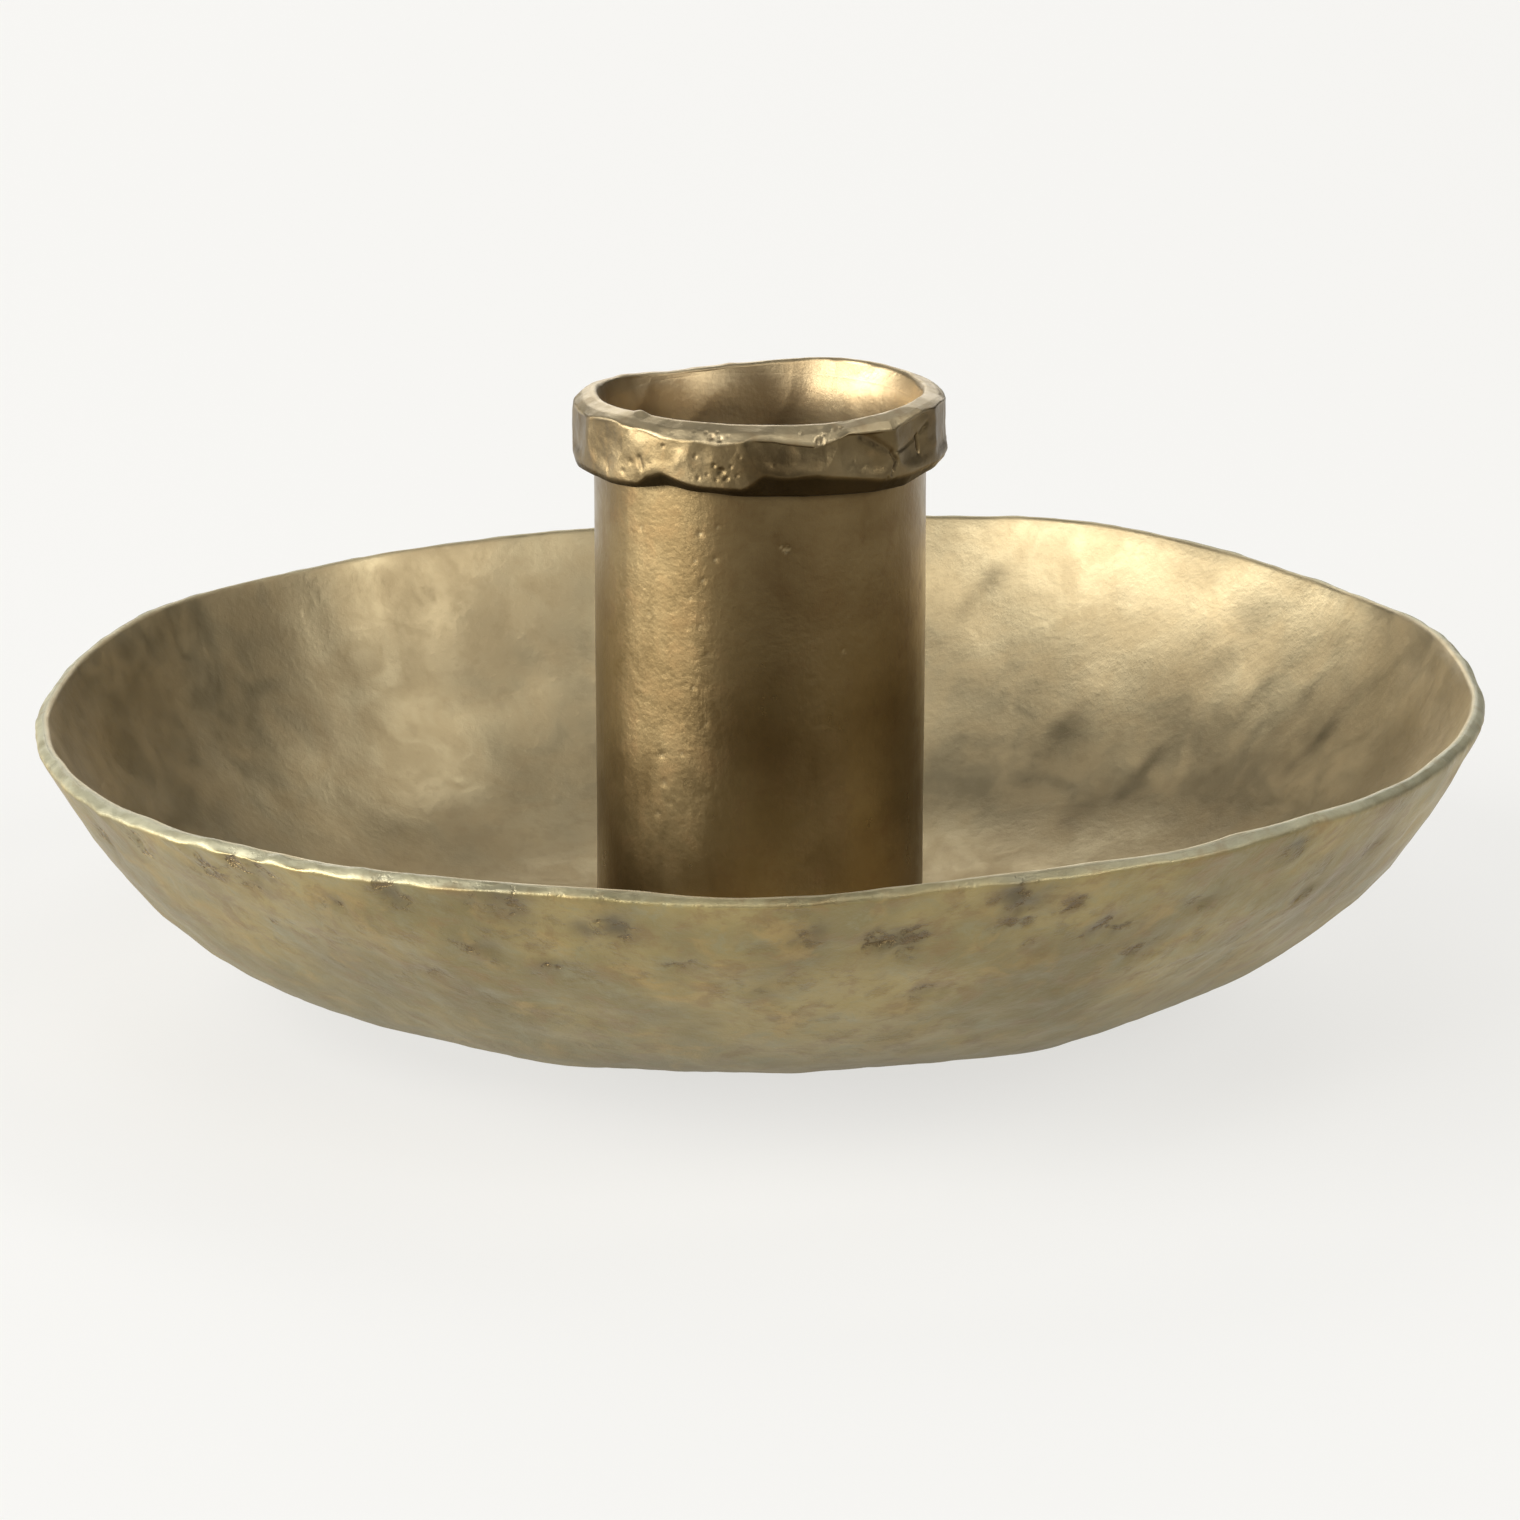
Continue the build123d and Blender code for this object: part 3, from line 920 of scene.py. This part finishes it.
def dish_colour(f, patches, mottle, specks):
    """Olive and ochre outside, paler bronze inside, with stains, specks, painted shade towards the table
    and a pale rim.
    """
    clouds = f.noise(13, detail=4, roughness=0.55)
    olive = f.blend(f.span(clouds, 0.38, 0.62), (0.255, 0.205, 0.088), (0.37, 0.29, 0.122))
    ochre = f.blend(f.span(patches, 0.52, 0.72, 0.0, 0.7), olive, (0.42, 0.30, 0.12))
    ochre = f.blend(f.span(mottle, 0.5, 0.64, 0.0, 0.6), ochre, (0.27, 0.18, 0.075))
    ochre = f.blend(f.span(mottle, 0.34, 0.47, 0.5, 0.0), ochre, (0.30, 0.275, 0.155))
    bronze = f.blend(f.span(clouds, 0.3, 0.7), (0.44, 0.352, 0.203), (0.575, 0.475, 0.282))
    worn = f.blend(f.span(patches, 0.35, 0.65, 0.0, 0.5), bronze, (0.49, 0.375, 0.205))
    colour = f.blend(f.field("inside"), ochre, worn)
    colour = f.blend(f.span(f.field("relief"), -0.8, 0.8, 0.35, 0.0), colour, (0.22, 0.17, 0.09))
    colour = f.blend(f.times(f.field("stain"), 0.85), colour, (0.15, 0.12, 0.066))
    speckled = f.times(f.span(specks, 0.48, 0.64), f.span(f.field("pitting"), 0.05, 0.7, 0.12, 0.95))
    colour = f.blend(speckled, colour, (0.165, 0.112, 0.048))
    # Painted shade: the outside is darkened towards the table.
    colour = f.blend(f.times(f.field("painted_low_shade"), 0.6), colour, (0.115, 0.10, 0.057))
    pale = f.blend(f.span(patches, 0.35, 0.65), (0.30, 0.285, 0.19), (0.42, 0.405, 0.285))
    pale = f.blend(f.span(mottle, 0.5, 0.66, 0.0, 0.6), pale, (0.26, 0.215, 0.12))
    return f.blend(f.times(f.field("edge"), 0.85), colour, pale)


def dish_brass():
    f = Finish("aged_brass")
    inside, edge, painted_low_shade = f.field("inside"), f.field("edge"), f.field("painted_low_shade")
    patches = f.noise(4.5, detail=5, roughness=0.6, distortion=0.6)
    grain = f.noise(0.7, detail=3, roughness=0.6)
    specks = f.noise(2.0, detail=4, roughness=0.62)
    mottle = f.noise(2.8, detail=6, roughness=0.68, distortion=0.3)
    rough = f.span(patches, 0.3, 0.7, 0.36, 0.5)
    for share, amount in ((grain, 0.08), (edge, 0.12), (painted_low_shade, 0.3)):
        rough = f.plus(rough, f.times(share, amount))
    holes = f.times(f.span(specks, 0.52, 0.68), f.span(f.field("pitting"), 0.05, 0.8))
    normal = f.bump(grain, 0.03)
    normal = f.bump(f.times(patches, f.span(inside, 0.0, 1.0, 1.0, 0.2)), 0.14, normal)
    normal = f.bump(f.times(mottle, f.span(inside, 0.0, 1.0, 1.0, 0.15)), 0.12, normal)
    normal = f.bump(f.times(holes, -1.0), 0.3, normal)
    metal = f.times(f.span(edge, 0.3, 1.0, 0.92, 0.6), f.span(painted_low_shade, 0.0, 1.0, 1.0, 0.35))
    f.wear(Metallic=metal, Coat_Weight=f.span(inside, 0.0, 1.0, 0.1, 0.0), Coat_Roughness=0.25)
    colour = dish_colour(f, patches, mottle, specks)
    return f.wear(Base_Color=colour, Roughness=rough, Normal=normal)


def of_mouth(f, colour, rough):
    """The colour and roughness of the mouth's inner wall, alike on the tube and on the collar."""
    clouds = f.noise(4, detail=3)
    inner = f.blend(f.span(clouds, 0.35, 0.65), (0.345, 0.252, 0.135), (0.445, 0.34, 0.193))
    mouth = f.field("mouth")
    return f.blend(mouth, colour, inner), f.span(mouth, 0.0, 1.0, rough, 0.42)


def tube_brass():
    f = Finish("bronzed_brass")
    clouds = f.noise(9, detail=4, roughness=0.55)
    patches = f.noise(2.4, detail=4, roughness=0.6, distortion=0.4)
    drawn = f.noise(0.9, detail=3, place=f.stretched(1, 1, 0.12))
    grain = f.noise(0.45, detail=2)
    colour = f.blend(f.span(clouds, 0.35, 0.65), (0.215, 0.15, 0.066), (0.295, 0.218, 0.104))
    colour = f.blend(f.span(patches, 0.45, 0.75, 0.0, 0.4), colour, (0.19, 0.11, 0.045))
    # Painted dark reflection on the front under the collar
    colour = f.blend(f.times(f.field("tarnish"), 0.6), colour, (0.085, 0.052, 0.02))
    # Painted glints: the deepest pits are made paler
    colour = f.blend(f.times(f.field("pitting"), 0.6), colour, (0.42, 0.33, 0.18))
    # Painted shadow under the collar's edge
    colour = f.blend(f.times(f.field("grime"), 0.8), colour, (0.05, 0.033, 0.015))
    rough = f.span(patches, 0.3, 0.7, 0.25, 0.33)
    rough = f.plus(rough, f.times(drawn, 0.06))
    colour, rough = of_mouth(f, colour, rough)
    # Emery marks run round the tube, so that a reflection spreads up and down it.
    f.wear(Anisotropic=f.span(f.field("mouth"), 0.0, 1.0, 0.5, 0.0), Anisotropic_Rotation=0.25)
    normal = f.bump(grain, 0.02)
    normal = f.bump(drawn, 0.02, normal)
    normal = f.bump(patches, 0.03, normal)
    return f.wear(Base_Color=colour, Metallic=0.95, Roughness=rough, Normal=normal)


def collar_brass():
    f = Finish("hammered_brass")
    clouds = f.noise(5, detail=4, roughness=0.55)
    patches = f.noise(1.5, detail=4, roughness=0.6, distortion=0.5)
    grain = f.noise(0.35, detail=3)
    colour = f.blend(f.span(clouds, 0.35, 0.65), (0.13, 0.092, 0.042), (0.20, 0.15, 0.077))
    # Painted highlight: the bevel that faces up is made paler
    colour = f.blend(f.times(f.field("bevel"), 0.85), colour, (0.42, 0.34, 0.205))
    colour = f.blend(f.span(patches, 0.5, 0.75, 0.0, 0.4), colour, (0.24, 0.155, 0.07))
    # Painted dark reflection on one facet at the front
    colour = f.blend(f.times(f.field("tarnish"), 0.7), colour, (0.06, 0.037, 0.014))
    colour = f.blend(f.span(f.field("pitting"), 0.2, 1.0, 0.0, 0.4), colour, (0.10, 0.07, 0.035))
    # Painted shade where the strip turns under
    colour = f.blend(f.times(f.field("grime"), 0.85), colour, (0.05, 0.035, 0.017))
    rough = f.span(patches, 0.3, 0.7, 0.36, 0.46)
    rough = f.plus(rough, f.times(f.field("bevel"), 0.05))
    colour, rough = of_mouth(f, colour, rough)
    normal = f.bump(grain, 0.02)
    normal = f.bump(patches, 0.035, normal)
    return f.wear(Base_Color=colour, Metallic=0.95, Roughness=rough, Normal=normal)


def plug_brass():
    f = Finish("turned_brass")
    clouds = f.noise(3, detail=3)
    grain = f.noise(0.3, detail=2)
    colour = f.blend(f.span(clouds, 0.35, 0.65), (0.40, 0.29, 0.14), (0.54, 0.42, 0.22))
    rough = f.span(grain, 0.3, 0.7, 0.32, 0.48)
    return f.wear(Base_Color=colour, Metallic=0.95, Roughness=rough, Normal=f.bump(grain, 0.02))


def steel():
    f = Finish("zinc_plated_steel")
    clouds = f.noise(1.2, detail=4)
    grain = f.noise(0.15, detail=2, place=f.stretched(1, 1, 4))
    colour = f.blend(f.span(clouds, 0.35, 0.65), (0.42, 0.43, 0.44), (0.58, 0.58, 0.57))
    rough = f.span(grain, 0.3, 0.7, 0.28, 0.45)
    return f.wear(Base_Color=colour, Metallic=1.0, Roughness=rough, Normal=f.bump(grain, 0.015))


def felt():
    f = Finish("brown_felt")
    fibres = f.noise(0.25, detail=4, roughness=0.7, distortion=1.5)
    clouds = f.noise(3, detail=3)
    colour = f.blend(f.span(fibres, 0.35, 0.65), (0.028, 0.02, 0.014), (0.075, 0.055, 0.04))
    colour = f.blend(f.span(clouds, 0.3, 0.7, 0.0, 0.4), colour, (0.05, 0.035, 0.025))
    f.wear(Sheen_Weight=0.4, Sheen_Roughness=0.5, Sheen_Tint=(0.5, 0.42, 0.35))
    rough = f.span(fibres, 0.3, 0.7, 0.85, 1.0)
    return f.wear(Base_Color=colour, Roughness=rough, Normal=f.bump(fibres, 0.15))


# ---------------------------------------------------------------- studio

FLOOR_REACH = 6.0  # metres from the middle of the floor to its sides
SOFTBOX_DISTANCE = 1.2  # metres from the dish
SOFTBOX_AIM = 0.03  # metres above the floor
CAMERA_TILT = 15.65  # degrees down from level


def make_floor():
    corners = [(x * FLOOR_REACH, y * FLOOR_REACH, 0) for x, y in ((-1, -1), (1, -1), (1, 1), (-1, 1))]
    mesh = bpy.data.meshes.new("studio_floor")
    mesh.from_pydata(corners, [], [(0, 1, 2, 3)])
    floor = bpy.data.objects.new("studio_floor", mesh)
    bpy.context.scene.collection.objects.link(floor)
    f = Finish("pale_paper")
    f.wear(Emission_Color=(1.0, 0.992, 0.965), Emission_Strength=0.69)
    finish_of(floor, f.wear(Base_Color=(0.18, 0.178, 0.172), Roughness=0.95, Specular_IOR_Level=0.1))


def softbox(name, azimuth, elevation, width, height, power):
    """A rectangular light that faces the dish and is hidden from the camera. Its sides are in metres."""
    lamp = bpy.data.lights.new(name, "AREA")
    lamp.shape = "RECTANGLE"
    lamp.size, lamp.size_y = width, height
    lamp.energy = power
    light = bpy.data.objects.new(name, lamp)
    bpy.context.scene.collection.objects.link(light)
    away = Vector(facing(azimuth, elevation))
    light.location = Vector((0, 0, SOFTBOX_AIM)) + away * SOFTBOX_DISTANCE
    light.rotation_mode = "QUATERNION"
    light.rotation_quaternion = away.to_track_quat("Z", "Y")
    light.visible_camera = False


def make_studio():
    """A glowing pale floor and softboxes, in an otherwise dark room."""
    make_floor()
    world = bpy.data.worlds.new("studio")
    bpy.context.scene.world = world
    world.use_nodes = True
    world.node_tree.nodes["Background"].inputs["Strength"].default_value = 0.0
    softbox("low_left_softbox", -160, 8.5, 1.2, 0.4, 23)
    softbox("left_softbox", 170, 11, 0.6, 0.4, 4)
    softbox("high_left_softbox", -142, 38, 1.1, 0.4, 7.5)
    softbox("back_softbox", 92, 19, 1.0, 0.5, 4.5)
    softbox("high_back_softbox", 105, 42, 0.7, 0.4, 2.5)
    softbox("right_softbox", -46, 24, 0.6, 0.4, 3)
    softbox("high_right_softbox", -22, 38, 0.7, 0.4, 4.5)
    softbox("top_softbox", -90, 60, 0.5, 0.5, 2.3)
    softbox("top_right_softbox", 30, 55, 0.6, 0.4, 2.2)


def make_camera():
    """The camera stands half a metre in front of the dish and looks down on it."""
    lens = bpy.data.cameras.new("camera")
    lens.sensor_width = 36
    lens.lens = 153.14
    lens.clip_start = 0.01
    camera = bpy.data.objects.new("camera", lens)
    camera.location = (0, -0.48296, 0.1546)
    camera.rotation_euler = (math.radians(90 - CAMERA_TILT), 0, 0)
    bpy.context.scene.collection.objects.link(camera)
    bpy.context.scene.camera = camera


make_camera()
finish_of(make_dish(), dish_brass())
finish_of(make_tube(), tube_brass())
finish_of(make_collar(), collar_brass())
finish_of(make_plug(), plug_brass())
finish_of(make_felt(), felt())
for node in ("fixing_screw", "washer"):
    finish_of(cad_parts[node], steel())
make_studio()
bpy.context.scene.view_settings.view_transform = "Standard"
